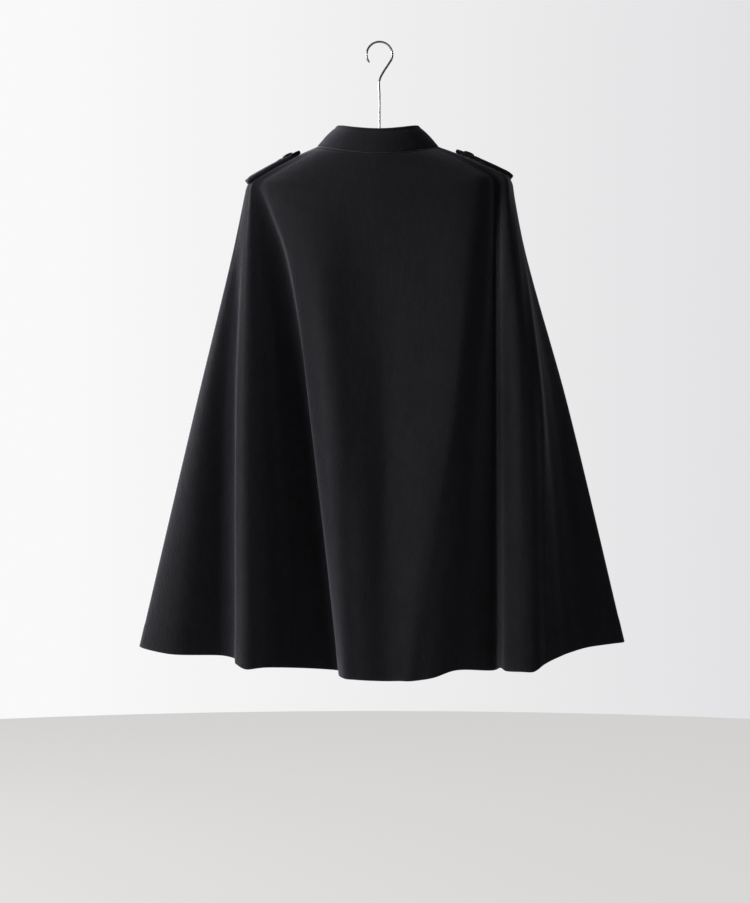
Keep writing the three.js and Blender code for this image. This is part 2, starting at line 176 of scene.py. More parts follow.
floorSides = 96
floorTurns = [2 * math.pi * k / floorSides for k in range(floorSides)]
reach = studio["floorRadius"]
floorRim = [(reach * math.cos(a), reach * math.sin(a), studio["floorZ"]) for a in floorTurns]
floorMesh = bpy.data.meshes.new("floor")
floorMesh.from_pydata(floorRim, [], [tuple(range(floorSides))])
floorMesh.materials.append(paintedFloor())
floor = bpy.data.objects.new("floor", floorMesh)
scene.collection.objects.link(floor)
print("camera, light and floor set")


# the form of the cloth, in millimetres

clothForm = {
    "bodyCloth": 2.4,
    "collarCloth": 4.0,
    "seamGap": 0.3,
    "neckline": {"side": 94, "back": 62, "front": 72, "sideZ": -162, "backZ": -180, "frontZ": -225},
    "collarTop": {"side": 62, "back": 50, "front": 57, "sideZ": -129, "backZ": -140, "frontZ": -185},
    "neckShift": 2.5,
    "leftTipZ": -217,
    "rightTipZ": -210,
    "backDip": 22,
    "frontDip": 50,
    "shoulderArch": 2.5,
    "collarHeight": 44,
    "shoulderRun": 124,
    "dropRun": 725,
    "tipSoftness": 9,
    "neckSoftness": 2.5,
    "lap": 2.9,
    "lapFrom": 46,
    "lapTo": 21,
}

# Each row is a line of the cloth from the neckline to the hem: its angle on the neckline, its distance from
# the centre line and out from the hanger at the shoulder tip, chest, waist and hem, and the hem's height.
levels = np.array([0, 0.165, 0.49, 1])
clothLines = {
    "left side seam": (0, 205, 230, 286, 372, 0, 0, 0, 0, -936),
    "left flap crest": (5, 204.5, 225, 270, 322, 4, 7, 20, 32, -944.5),
    "left flap valley": (10, 203, 219, 237, 243, 8, 12.5, 15.5, 12.5, -949),
    "left ridge flank": (14, 202, 214.5, 225, 225, 10, 17.5, 20, 18, -952.5),
    "left ridge edge": (17, 200, 210, 218, 219, 13, 23, 37, 50, -957),
    "left ridge crest": (21, 198, 201, 204, 203, 17, 31, 50, 71, -963.5),
    "left ridge fall": (25, 196, 187, 180, 172, 18, 29, 44, 63, -961.5),
    "left trough": (29, 188, 144, 106, 64, 22, 19, 14, 14, -972),
    "middle fold edge": (34, 178, 136, 103, 61.5, 31, 40, 50, 56, -975),
    "middle fold side": (42, 150, 111, 80, 53, 45, 57, 73, 84, -976.5),
    "middle fold left crest": (56, 102, 84, 59, 39, 58, 66, 81, 91.5, -977),
    "middle fold hollow": (84, 20, 6, -10, -10, 68, 60, 72, 86, -979.5),
    "middle fold rise": (106, -62, -64, -52, -30, 67, 67, 79, 87.5, -979),
    "middle fold right crest": (126, -128, -126, -104, -48, 62, 74, 90, 90.5, -979),
    "middle fold fall": (137, -152, -146, -123, -80, 57, 68, 84, 85, -975),
    "right trough side": (145, -166, -160, -143, -115, 48, 57, 73, 72, -965),
    "right trough": (152, -177, -176.5, -176, -175, 36, 39, 42, 35, -969),
    "right ridge edge": (157, -184, -181, -182, -184, 35, 49, 54, 49, -963.5),
    "right ridge left top": (161, -190, -187.5, -190, -192, 36, 59, 64, 62, -967),
    "right ridge right top": (165, -196, -201, -211, -216, 32, 62.5, 71, 70, -967.5),
    "right ridge side": (168, -200, -210, -224, -232, 22, 58.5, 70, 69, -968),
    "right flap valley": (171, -202, -215, -233.5, -240, 13, 51, 66.5, 65.5, -965),
    "right flap lip": (173.5, -203.5, -219, -244, -252, 7, 39, 61, 62, -956),
    "right flap side": (177, -204.5, -222.5, -268, -314, 3, 17, 25, 27, -936),
    "right side seam": (180, -204, -227, -292, -380, 0, 0, 0, 0, -929),
    "right front flap": (187, -206, -222, -276, -344, -5, -10, -15, -20, -931),
    "right front ridge": (200, -200, -200, -214, -240, -15, -29, -44, -60, -944),
    "right front trough": (214, -190, -158, -162, -182, -23, -26, -25, -24, -946),
    "right front crest": (235, -152, -108, -102, -108, -44, -62, -72, -82, -950),
    "left front edge": (259, -18, -18, -18, -18, -81, -80, -76, -74, -948),
    "centre front": (270, 0, 0, 0, 0, -82, -81, -77, -75, -948),
    "right front edge": (281, 18, 18, 18, 18, -81, -80, -76, -74, -948),
    "left front crest": (305, 150, 106, 94, 88, -44, -61, -68, -76, -949),
    "left front trough": (326, 190, 160, 152, 156, -23, -27, -26, -23, -945),
    "left front ridge": (340, 199, 199, 210, 232, -15, -28, -42, -57, -944),
    "left front flap": (353, 204.5, 224, 272, 336, -5, -9, -15, -20, -938),
}
lineNames = list(clothLines)
lineRows = np.array(list(clothLines.values()), float)
lineCount = len(lineNames)
leftSeam = lineNames.index("left side seam")
rightSeam = lineNames.index("right side seam")
centreFront = lineNames.index("centre front")
rightEdge = lineNames.index("right front edge")
leftEdge = lineNames.index("left front edge")
hemAt = clothForm["shoulderRun"] + clothForm["dropRun"]

def alongLine(values, share):
    i = np.searchsorted(levels[1:3], share, side="left")
    slopes = np.stack([(values[..., min(k + 1, 3)] - values[..., max(k - 1, 0)])
                       / (levels[min(k + 1, 3)] - levels[max(k - 1, 0)]) for k in range(4)], -1)
    pick = lambda table, k: np.take_along_axis(table, k[..., None], -1)[..., 0]
    span = levels[i + 1] - levels[i]
    u = (share - levels[i]) / span
    start, end = pick(values, i), pick(values, i + 1)
    startSlope, endSlope = pick(slopes, i) * span, pick(slopes, i + 1) * span
    bend = 2 * (start - end) + startSlope + endSlope
    curve = 3 * (end - start) - 2 * startSlope - endSlope
    return start + u * (startSlope + u * (curve + u * bend))

def ovalPoint(oval, angle):
    across = np.sin(angle)
    reach = np.where(across > 0, oval["back"], oval["front"])
    middleZ = np.where(across > 0, oval["backZ"], oval["frontZ"])
    z = oval["sideZ"] + (middleZ - oval["sideZ"]) * across ** 2
    return np.stack([clothForm["neckShift"] + oval["side"] * np.cos(angle), reach * across, z], -1)

def linePoint(k, down):
    row = lineRows[k % lineCount]
    angle = np.radians(row[..., 0])
    neck = ovalPoint(clothForm["neckline"], angle)
    top = ovalPoint(clothForm["collarTop"], angle)
    across = np.sin(angle)
    dip = np.where(across > 0, clothForm["backDip"], clothForm["frontDip"])
    tipZ = clothForm["rightTipZ"] + (clothForm["leftTipZ"] - clothForm["rightTipZ"]) * (1 + np.cos(angle)) / 2
    tipZ = tipZ - dip * across ** 2
    tip = np.stack([row[..., 1], row[..., 5], tipZ], -1)
    d = down[..., None]
    collar = neck + (top - neck) * (-d / clothForm["collarHeight"])
    share = d / clothForm["shoulderRun"]
    shoulder = neck + (tip - neck) * share
    shoulder[..., 2] += (clothForm["shoulderArch"] * 4 * share * (1 - share))[..., 0]
    fall = (down - clothForm["shoulderRun"]) / clothForm["dropRun"]
    z = tipZ + (row[..., 9] - tipZ) * fall
    body = np.stack([alongLine(row[..., 1:5], fall), alongLine(row[..., 5:9], fall), z], -1)
    return np.where(d < 0, collar, np.where(d < clothForm["shoulderRun"], shoulder, body))

def ringPoint(around, down):
    # a closed curve through every line at one distance down, with even speed past close points
    first = np.floor(around).astype(int)
    w = (around - first)[..., None]
    p0, p1, p2, p3 = (linePoint(first + k, down) for k in (-1, 0, 1, 2))
    gap = lambda a, b: np.sqrt(np.linalg.norm(a - b, axis=-1, keepdims=True))
    g0, g1, g2 = gap(p0, p1), gap(p1, p2), gap(p2, p3)
    t1 = ((p1 - p0) / g0 - (p2 - p0) / (g0 + g1) + (p2 - p1) / g1) * g1
    t2 = ((p2 - p1) / g1 - (p3 - p1) / (g1 + g2) + (p3 - p2) / g2) * g1
    return p1 + t1 * w + (-3 * p1 + 3 * p2 - 2 * t1 - t2) * w ** 2 + (2 * p1 - 2 * p2 + t1 + t2) * w ** 3

def clothPoint(around, down):
    around, down = np.broadcast_arrays(np.asarray(around, float), np.asarray(down, float))
    run = clothForm["shoulderRun"]
    nearTip = smoothStep(down, run * 0.3, run * 0.8)
    soft = clothForm["neckSoftness"] + (clothForm["tipSoftness"] - clothForm["neckSoftness"]) * nearTip
    return (2 * ringPoint(around, down) + ringPoint(around, down - soft) + ringPoint(around, down + soft)) / 4

def clothFrame(around, down):
    point = clothPoint(around, down)
    along = unit(clothPoint(around + 0.02, down) - clothPoint(around - 0.02, down))
    below = unit(clothPoint(around, down + 1) - clothPoint(around, down - 1))
    out = unit(np.cross(below, along))
    return point, along, below, out

def underLap(x):
    return -clothForm["lap"] * (1 - smoothStep(x, clothForm["lapTo"], clothForm["lapFrom"]))


# making meshes from grids

def showMesh(name, points, faces, material, wearAndHighlight=None):
    mesh = bpy.data.meshes.new(name)
    mesh.from_pydata((np.asarray(points) * 0.001).tolist(), [], [list(map(int, f)) for f in faces])
    mesh.update()
    mesh.polygons.foreach_set("use_smooth", [True] * len(mesh.polygons))
    if wearAndHighlight is not None:
        layer = mesh.attributes.new("edgeWearAndHighlight", "FLOAT", "POINT")
        layer.data.foreach_set("value", np.asarray(wearAndHighlight, np.float32).ravel())
    mesh.materials.append(material)
    thing = bpy.data.objects.new(name, mesh)
    scene.collection.objects.link(thing)
    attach(thing, "root")
    return thing

def shell(outer, inner, wearAndHighlight, bulge, steps=3):
    # a closed sheet from an outer and an inner grid, with its edges rounded by rings that stand out by bulge,
    # which is one distance or a grid of them
    n, m = outer.shape[:2]
    index = np.arange(n * m).reshape(n, m)
    a, b, c, d = index[:-1, :-1], index[:-1, 1:], index[1:, 1:], index[1:, :-1]
    outerFaces = np.stack([a, b, c, d], -1).reshape(-1, 4)
    innerFaces = np.stack([a, d, c, b], -1).reshape(-1, 4) + n * m
    loop = np.concatenate([index[:, 0], index[-1, 1:], index[-2::-1, -1], index[0, -2:0:-1]])
    away = np.zeros_like(outer)
    away[:, 0] += unit(outer[:, 0] - outer[:, 1])
    away[:, -1] += unit(outer[:, -1] - outer[:, -2])
    away[0, :] += unit(outer[0, :] - outer[1, :])
    away[-1, :] += unit(outer[-1, :] - outer[-2, :])
    flatOuter, flatInner = outer.reshape(-1, 3), inner.reshape(-1, 3)
    away = unit(away.reshape(-1, 3)[loop])
    away = away * np.broadcast_to(bulge, (n, m)).ravel()[loop][:, None]
    middle = (flatOuter[loop] + flatInner[loop]) / 2
    halfThick = (flatOuter[loop] - flatInner[loop]) / 2
    points = [flatOuter, flatInner]
    rings = [loop]
    for s in range(1, steps + 1):
        turn = math.pi * s / (steps + 1)
        rings.append(2 * n * m + (s - 1) * len(loop) + np.arange(len(loop)))
        points.append(middle + math.cos(turn) * halfThick + math.sin(turn) * away)
    rings.append(loop + n * m)
    bands = [np.stack([p, np.roll(p, -1), np.roll(q, -1), q], -1) for p, q in zip(rings, rings[1:])]
    wearAndHighlight = np.clip(wearAndHighlight, 0, 1).ravel()
    allWearAndHighlight = np.concatenate([wearAndHighlight, wearAndHighlight, np.tile(wearAndHighlight[loop], steps)])
    return np.concatenate(points), np.concatenate([outerFaces, innerFaces, *bands]), allWearAndHighlight

def tube(path, radii, sides, closed=False, flatten=None):
    # a round tube on a path, with its ends closed to a point
    path = np.asarray(path, float)
    radii = np.broadcast_to(radii, len(path))
    if closed:
        way = unit(np.roll(path, -1, 0) - np.roll(path, 1, 0))
    else:
        way = unit(np.gradient(path, axis=0))
    guide = np.array([0, 1, 0.0]) if flatten is None else np.asarray(flatten, float)
    across = unit(np.cross(np.broadcast_to(guide, way.shape), way))
    up = np.cross(way, across)
    turn = np.linspace(0, 2 * math.pi, sides, endpoint=False)
    ring = (across[:, None] * np.cos(turn)[None, :, None] + up[:, None] * np.sin(turn)[None, :, None])
    points = (path[:, None] + ring * radii[:, None, None]).reshape(-1, 3)
    faces = []
    last = len(path) if closed else len(path) - 1
    for i in range(last):
        for k in range(sides):
            nextI, nextK = (i + 1) % len(path), (k + 1) % sides
            faces.append((i * sides + k, i * sides + nextK, nextI * sides + nextK, nextI * sides + k))
    if not closed:
        points = np.concatenate([points, path[:1], path[-1:]])
        start, end = len(points) - 2, len(points) - 1
        for k in range(sides):
            nextK = (k + 1) % sides
            faces.append((start, nextK, k))
            faces.append((end, (len(path) - 1) * sides + k, (len(path) - 1) * sides + nextK))
    return points, faces

def joined(parts):
    points, faces, count = [], [], 0
    for p, f in parts:
        points.append(np.asarray(p))
        faces.extend([tuple(int(v) + count for v in face) for face in f])
        count += len(p)
    return np.concatenate(points), faces


# the wool cloth's finish

melton = {
    "deep": "#0e0e11",
    "pale": "#151419",
    # the lighter tone, for the nap's clouds and for the edges, where it is partly real rubbing and partly a
    # painted highlight
    "rubbedAndLit": "#232228",
    "napTuft": 2.3,  # millimetres, drawn coarser than the real nap, which is too fine to show from this far
    "napCloud": 9,
    "dyeCloud": 60,
    "sheen": 0.6,
    "sheenRoughness": 0.42,
    "roughness": 0.92,
}

def fulledMelton():
    # Wool melton, woven, fulled until the weave closes, raised and cropped short. The eye sees a deep black
    # with a soft grey bloom where the nap is seen edge on, and faint clouds where it lies one way or another.
    material, tree = newMaterial("fulledMelton")
    place = addNode(tree, "ShaderNodeTexCoord").outputs["Object"]
    fall = addNode(tree, "ShaderNodeMapping", inputs={"Vector": place, "Scale": (1, 1, 0.4)})
    dye = addNode(tree, "ShaderNodeTexNoise", inputs={
        "Vector": place, "Scale": perMetre(melton["dyeCloud"]), "Detail": 3, "Roughness": 0.55})
    cloud = addNode(tree, "ShaderNodeTexNoise", inputs={
        "Vector": fall, "Scale": perMetre(melton["napCloud"]), "Detail": 4, "Roughness": 0.6,
        "Distortion": 0.6})
    tuft = addNode(tree, "ShaderNodeTexNoise", inputs={
        "Vector": fall, "Scale": perMetre(melton["napTuft"]), "Detail": 3, "Roughness": 0.65})
    dyeShade = addNode(tree, "ShaderNodeMix", {"data_type": "RGBA"}, {
        0: dye, 6: linear(melton["deep"]), 7: linear(melton["pale"])})
    cloudFactor = addNode(tree, "ShaderNodeMapRange", inputs={
        "Value": cloud, "From Min": 0.35, "From Max": 0.7, "To Min": 0, "To Max": 0.35})
    napShade = addNode(tree, "ShaderNodeMix", {"data_type": "RGBA"}, {
        0: cloudFactor, 6: dyeShade.outputs[2], 7: linear(melton["rubbedAndLit"])})
    # the cloth is lighter at its edges: partly real rubbing, partly a painted highlight where the edges catch
    # the light
    wornAndLitEdge = addNode(tree, "ShaderNodeAttribute", {"attribute_name": "edgeWearAndHighlight"})
    wornAndLitFactor = addNode(tree, "ShaderNodeMath", {"operation": "MULTIPLY"}, {
        0: wornAndLitEdge.outputs["Fac"], 1: cloud})
    colour = addNode(tree, "ShaderNodeMix", {"data_type": "RGBA"}, {
        0: wornAndLitFactor, 6: napShade.outputs[2], 7: linear(melton["rubbedAndLit"])})
    cloudBump = addNode(tree, "ShaderNodeBump", inputs={
        "Height": cloud, "Strength": 0.25, "Distance": 0.0012})
    napBump = addNode(tree, "ShaderNodeBump", inputs={
        "Height": tuft, "Strength": 0.9, "Distance": 0.0009, "Normal": cloudBump})
    cloth = addNode(tree, "ShaderNodeBsdfPrincipled", inputs={
        "Base Color": colour.outputs[2], "Roughness": melton["roughness"], "IOR": 1.54,
        "Specular IOR Level": 0.2, "Sheen Weight": melton["sheen"],
        "Sheen Roughness": melton["sheenRoughness"], "Sheen Tint": linear("#d9d6e6"), "Normal": napBump})
    addNode(tree, "ShaderNodeOutputMaterial", inputs={"Surface": cloth})
    return material

wool = fulledMelton()

def spunThread():  # spun polyester sewing thread: black, with a slight silky shine on each stitch
    material, tree = newMaterial("spunThread")
    place = addNode(tree, "ShaderNodeTexCoord").outputs["Object"]
    ply = addNode(tree, "ShaderNodeTexNoise", inputs={"Vector": place, "Scale": perMetre(0.5), "Detail": 2})
    shade = addNode(tree, "ShaderNodeMix", {"data_type": "RGBA"}, {
        0: ply, 6: linear("#0b0b0c"), 7: linear("#161618")})
    bump = addNode(tree, "ShaderNodeBump", inputs={"Height": ply, "Strength": 0.5, "Distance": 0.0002})
    thread = addNode(tree, "ShaderNodeBsdfPrincipled", inputs={
        "Base Color": shade.outputs[2], "Roughness": 0.7, "IOR": 1.57, "Specular IOR Level": 0.3,
        "Normal": bump})
    addNode(tree, "ShaderNodeOutputMaterial", inputs={"Surface": thread})
    return material

sewingThread = spunThread()
print("cloth form and cloth finish ready")


# body panels

bodyPanels = {
    "columnWidth": 6.0,  # millimetres at the hem
    "fewestColumns": 4,
    "rows": [0.55, 1.6, 2.8, 4.3, 5.8, 7.2, 8.6, 10.2, 12.5, 16, 20.5],
    "neckEdge": 0.4,  # the cloth's edge at the neck seam is pressed nearly square
    "sideEdge": 0.75,
    "rowHeight": 6.0,
    "stitchLine": 7.2,  # the row of stitching below the neck seam
    "stitchDent": 0.55,
    "hemTurn": 34,  # the hem allowance shows as a faint step in the cloth
    "hemStep": 0.45,
    # the width of the lighter band at the side seams and hem: partly real rubbing, partly a painted highlight
    "edgeWearAndHighlight": 5.0,
}

# Soft creases: the line where each starts and ends, where it starts and ends down the cloth, its width, and
# how far it stands out, all in millimetres. A crease that goes in has a negative rise.
backCreases = [
    (4.0, 4.1, 190, 849, 4.5, 1.3),
    (3.3, 3.3, 430, 849, 7, -1.2),
    (2.3, 2.1, 480, 849, 14, -2.2),
    (5.3, 5.5, 330, 849, 9, -0.9),
    (6.35, 6.4, 240, 760, 12, 1.6),
    (8.0, 8.0, 170, 700, 6, 1.3),
    (9.8, 9.8, 230, 600, 14, 2.0),
    (10.0, 10.0, 540, 849, 12, -2.4),
    (6.85, 6.9, 330, 849, 12, -2.0),
    (8.55, 8.7, 260, 849, 10, -0.9),
    (9.3, 9.5, 200, 640, 16, 1.2),
    (10.1, 10.2, 470, 849, 14, -1.4),
    (10.6, 10.4, 120, 380, 24, -1.3),
    (11.1, 10.9, 340, 760, 16, -1.9),
    (11.7, 11.75, 170, 470, 22, 1.4),
    (12.3, 12.4, 420, 849, 15, 1.6),
    (12.9, 12.7, 230, 560, 18, -1.5),
    (13.4, 13.3, 500, 849, 12, -1.2),
    (15.3, 15.2, 90, 420, 14, 1.6),
    (18.4, 18.4, 80, 330, 7, 3.6),
    (18.0, 18.0, 160, 849, 4.5, 1.2),
    (19.0, 19.0, 180, 700, 8, 1.6),
    (21.3, 21.35, 210, 849, 6, -0.6),
    (22.1, 22.1, 170, 640, 9, 2.8),
    (22.0, 22.0, 300, 849, 4, 0.6),
    (22.5, 22.6, 380, 849, 9, -1.4),
    (23.3, 23.35, 520, 849, 13, 1.7),
]
rightFrontCreases = [
    (24.5, 24.6, 360, 849, 12, -1.5),
    (25.3, 25.4, 300, 760, 9, 1.2),
    (26.0, 26.1, 190, 849, 6, 1.4),
    (26.5, 26.5, 330, 849, 13, -1.5),
    (27.2, 27.1, 220, 849, 8, -1.7),
    (27.7, 27.8, 420, 849, 14, 1.3),
    (28.2, 28.2, 170, 560, 16, 1.3),
    (28.45, 28.5, 430, 800, 12, -1.1),
]
leftFrontCreases = [
    (31.55, 31.5, 380, 800, 12, -1.1),
    (31.9, 31.85, 180, 540, 15, 1.2),
    (32.4, 32.3, 400, 849, 13, 1.2),
    (33.0, 33.1, 230, 849, 8, -1.6),
    (33.5, 33.5, 340, 849, 12, -1.3),
    (34.0, 33.95, 190, 849, 6, 1.3),
    (34.6, 34.55, 310, 720, 9, 1.1),
    (35.4, 35.3, 400, 849, 12, -1.4),
]

def columnPlaces(fromLine, toLine):
    places = []
    for line in range(fromLine, toLine):
        gap = np.linalg.norm(clothPoint(line, hemAt) - clothPoint(line + 1, hemAt))
        count = max(bodyPanels["fewestColumns"], math.ceil(gap / bodyPanels["columnWidth"]))
        places += [line + i / count for i in range(count)]
    return np.array(places + [toLine], float)

def rowPlaces():
    first = bodyPanels["rows"][-1]
    last = hemAt - clothForm["bodyCloth"] / 2 - clothForm["seamGap"] / 2
    turnUp = bodyPanels["hemTurn"]
    hemRows = [last - back for back in (turnUp + 4, turnUp + 1, turnUp - 2, turnUp - 5, 3, 1.2, 0)]
    count = math.ceil((hemRows[0] - first) / bodyPanels["rowHeight"])
    middle = [first + (hemRows[0] - first) * i / count for i in range(1, count)]
    turn = np.linspace(hemRows[3], hemRows[4], 6)[1:-1].tolist()
    return np.array(bodyPanels["rows"] + middle + hemRows[:4] + turn + hemRows[4:])

def insetPlaces(places, rows, inset):
    # the same columns, with the first and last drawn in from the seam by a distance that is even all the way
    start = np.linalg.norm(clothPoint(places[0] + 0.02, rows) - clothPoint(places[0], rows), axis=-1) / 0.02
    end = np.linalg.norm(clothPoint(places[-1], rows) - clothPoint(places[-1] - 0.02, rows), axis=-1) / 0.02
    share = (places - places[0]) / (places[-1] - places[0])
    low = places[0] + inset / start
    high = places[-1] - inset / end
    return low[None, :] + (high - low)[None, :] * share[:, None]

def creaseRise(places, arc, rows, creases):
    rise = np.zeros_like(arc)
    for startLine, endLine, start, end, width, height in creases:
        t = (rows - start) / (end - start)
        line = startLine + (endLine - startLine) * np.clip(t, 0, 1)
        centre = np.array([np.interp(line[j], places[:, j], arc[:, j]) for j in range(len(rows))])
        fadeIn = smoothStep(t, -0.05, 0.3)
        fadeOut = 1 if end >= hemAt else 1 - smoothStep(t, 0.65, 1.05)
        rise += height * (fadeIn * fadeOut)[None, :] * np.exp(-((arc - centre[None, :]) / width) ** 2)
    return rise

def bodyPanel(name, fromLine, toLine, creases, proud):
    rows = rowPlaces()
    thick = clothForm["bodyCloth"]
    inset = thick / 2 + clothForm["seamGap"] / 2
    places = insetPlaces(columnPlaces(fromLine, toLine), rows, inset)
    down = np.broadcast_to(rows[None, :], places.shape)
    point, along, below, out = clothFrame(places, down)
    arc = np.cumsum(np.linalg.norm(np.diff(point, axis=0, prepend=point[:1]), axis=-1), axis=0)
    rise = creaseRise(places, arc, rows, creases)
    stitchGap = (down - bodyPanels["stitchLine"]) / 1.5
    rise -= bodyPanels["stitchDent"] * np.exp(-stitchGap ** 2)
    turnAt = hemAt - bodyPanels["hemTurn"]
    rise += bodyPanels["hemStep"] * smoothStep(down, turnAt - 4, turnAt)
    rise += proud(point[..., 0])
    outer = point + out * rise[..., None]
    inner = outer - out * thick
    sideGap = np.minimum(arc, arc[-1:] - arc)
    # the cloth is drawn lighter near the side seams and the hem: partly real rubbing, partly a painted
    # highlight where these edges catch the light
    wearAndHighlight = 0.4 * np.exp(-sideGap / bodyPanels["edgeWearAndHighlight"]) + np.exp(-(hemAt - down) / bodyPanels["edgeWearAndHighlight"])
    bulge = np.where(down < rows[0] + 0.1, bodyPanels["neckEdge"], thick / 2)
    bulge[0, 1:-1] = bulge[-1, 1:-1] = bodyPanels["sideEdge"]
    points, faces, allWearAndHighlight = shell(outer, inner, wearAndHighlight, bulge)
    panel = showMesh(name + "_cloth", points, faces, wool, allWearAndHighlight)
    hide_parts(name)
    hemWidth, neckWidth = arc[-1, -1], arc[-1, 0]
    corner = outer[:-1, :-1]
    area = np.linalg.norm(np.cross(outer[1:, :-1] - corner, outer[:-1, 1:] - corner), axis=-1).sum()
    print(name, "hem", round(hemWidth), "neck", round(neckWidth), "one side", round(area / 1e6, 4),
          "faces", len(faces))
    return panel

noRise = lambda x: 0 * x
back = bodyPanel("back", leftSeam, rightSeam, backCreases, noRise)
frontRight = bodyPanel("front_right", rightSeam, rightEdge, rightFrontCreases, noRise)
frontLeft = bodyPanel("front_left", leftEdge, lineCount, leftFrontCreases, underLap)
print("back and fronts made")


# collar

collarBand = {
    "columnWidth": 3.0,
    "rows": 22,
    "edgeRound": 2.0,
    "seamRound": 1.3,
    "roll": 1.1,  # the stand leans out a little between its seam and its top edge
    "topPress": 0.5,
}

def collarPanel():
    start, end = centreFront - lineCount, centreFront
    thick = clothForm["collarCloth"]
    edge = collarBand["edgeRound"] + clothForm["seamGap"] / 2
    rows = -np.linspace(edge, clothForm["collarHeight"] - edge, collarBand["rows"])[::-1]
    places = []
    for line in range(start, end):
        gap = np.linalg.norm(clothPoint(line, 0) - clothPoint(line + 1, 0))
        count = max(2, math.ceil(gap / collarBand["columnWidth"]))
        places += [line + i / count for i in range(count)]
    places = insetPlaces(np.array(places + [end], float), rows, edge)
    down = np.broadcast_to(rows[None, :], places.shape)
    point, along, below, out = clothFrame(places, down)
    share = -down / clothForm["collarHeight"]
    rise = (thick - clothForm["bodyCloth"]) / 2 + collarBand["roll"] * np.sin(math.pi * share) ** 2
    rise -= collarBand["topPress"] * np.exp(-(((1 - share) * clothForm["collarHeight"] - 6.5) / 1.6) ** 2)
    outer = point + out * rise[..., None]
    inner = outer - out * thick
    # the collar is drawn lighter at its top edge: partly real rubbing, partly a painted highlight
    wearAndHighlight = np.exp(-(clothForm["collarHeight"] + down) / 3)
    bulge = np.where(down > rows[-1] - 0.1, collarBand["seamRound"], collarBand["edgeRound"])
    points, faces, allWearAndHighlight = shell(outer, inner, wearAndHighlight, bulge, 5)
    collar = showMesh("collar_stand", points, faces, wool, allWearAndHighlight)
    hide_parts("collar")
    return collar

collar = collarPanel()
print("collar made")


# stitching

topStitch = {
    "length": 3.4,
    "pitch": 4.4,
    "thread": 0.42,  # half the width of the thread
    "sink": 0.15,
}

def stitchRow(points, outs):
    # single stitches along a path, each a short length of thread that dips into the cloth at its ends
    steps = np.linalg.norm(np.diff(points, axis=0), axis=-1)
    length = np.concatenate([[0], np.cumsum(steps)])
    count = int(length[-1] / topStitch["pitch"])
    parts = []
    shares = np.array([-0.5, -0.36, -0.15, 0.15, 0.36, 0.5])
    lift = np.array([-0.7, 0.0, 0.25, 0.25, 0.0, -0.7])
    radii = topStitch["thread"] * np.array([0.5, 0.9, 1, 1, 0.9, 0.5])
    for i in range(count):
        at = (i + 0.5) * length[-1] / count + shares * topStitch["length"]
        path = np.stack([np.interp(at, length, points[:, k]) for k in range(3)], -1)
        out = unit(np.stack([np.interp(at, length, outs[:, k]) for k in range(3)], -1))
        path = path + out * (lift - topStitch["sink"])[:, None]
        parts.append(tube(path, radii, 6, flatten=out[2]))
    return parts

neckPlaces = np.linspace(0, lineCount, 400)
neckParts = []
for stretch in (neckPlaces[neckPlaces < rightEdge - 0.3],
                neckPlaces[neckPlaces > rightEdge + 0.12]):
    point, along, below, out = clothFrame(stretch, np.full_like(stretch, bodyPanels["stitchLine"]))
    under = np.where(stretch > centreFront + 1, underLap(point[:, 0]), 0)
    point = point + out * (under - bodyPanels["stitchDent"] + 0.1)[:, None]
    neckParts += stitchRow(point, out)
neckStitching = showMesh("neck_stitching", *joined(neckParts), sewingThread)
print("neck stitching made")


# shoulder straps

frontButtons = {
    "radius": 12.5,
    "height": 4.0,
    "topZ": -250,
    "spacing": 105,
    "count": 5,
    "hole": 1.25,
    "holeSpread": 2.6,
}
strapButtons = {
    "radius": 8.5,
    "height": 2.6,
    "fromPoint": 21,
    "sink": 1.1,  # the thread draws it down into the strap
    "hole": 0.9,
    "holeSpread": 1.8,
}

strapBand = {
    "from": 28,
    "to": 125,
    "halfWidth": 18,
    "pointLength": 15,
    "halfTip": 2,
    "lift": 1.3,
    "hug": 0.7,
    "cloth": 5.5,
    "edge": 1.7,
    "rows": 84,
    "columns": 34,
    "stitchInset": 5.5,
    "stitchDent": 0.7,
}

def clothDrop(ridge, side, down, y):
    # how far the cloth beside the shoulder line lies below it, at a distance y across
    point, along, below, out = ridge
    seam = leftSeam if side > 0 else rightSeam
    around = seam + side * np.sign(y) * np.minimum(np.abs(y) / 5, 5)
    at = down.copy()
    def miss(r, d):
        offset = clothPoint(r, d) - point
        return (offset * below).sum(-1), offset[..., 1] - y
    for _ in range(12):
        a, b = miss(around, at)
        ar, br = miss(around + 0.01, at)
        ad, bd = miss(around, at + 0.2)
        rr, rd, sr, sd = (ar - a) / 0.01, (ad - a) / 0.2, (br - b) / 0.01, (bd - b) / 0.2
        det = rr * sd - rd * sr
        around = around - np.clip((a * sd - b * rd) / det, -1, 1)
        at = at - np.clip((b * rr - a * sr) / det, -15, 15)
    return -((clothPoint(around, at) - point) * out).sum(-1)

def strapSurface(side, down, y):
    # the middle of the strap's cloth, at a distance down the shoulder and y across it
    seam = leftSeam if side > 0 else rightSeam
    ridge = clothFrame(np.full_like(down, seam), down)
    drop = np.where(np.abs(y) < 0.01, 0, clothDrop(ridge, side, down, y))
    base = ridge[0].copy()
    base[..., 1] += y
    rise = strapBand["lift"] - strapBand["hug"] * drop + strapBand["cloth"] / 2
    return base + ridge[3] * rise[..., None], ridge[3]

def strapHalfWidth(down):
    widen = np.clip((down - strapBand["from"]) / strapBand["pointLength"], 0, 1)
    return strapBand["halfTip"] + (strapBand["halfWidth"] - strapBand["halfTip"]) * widen

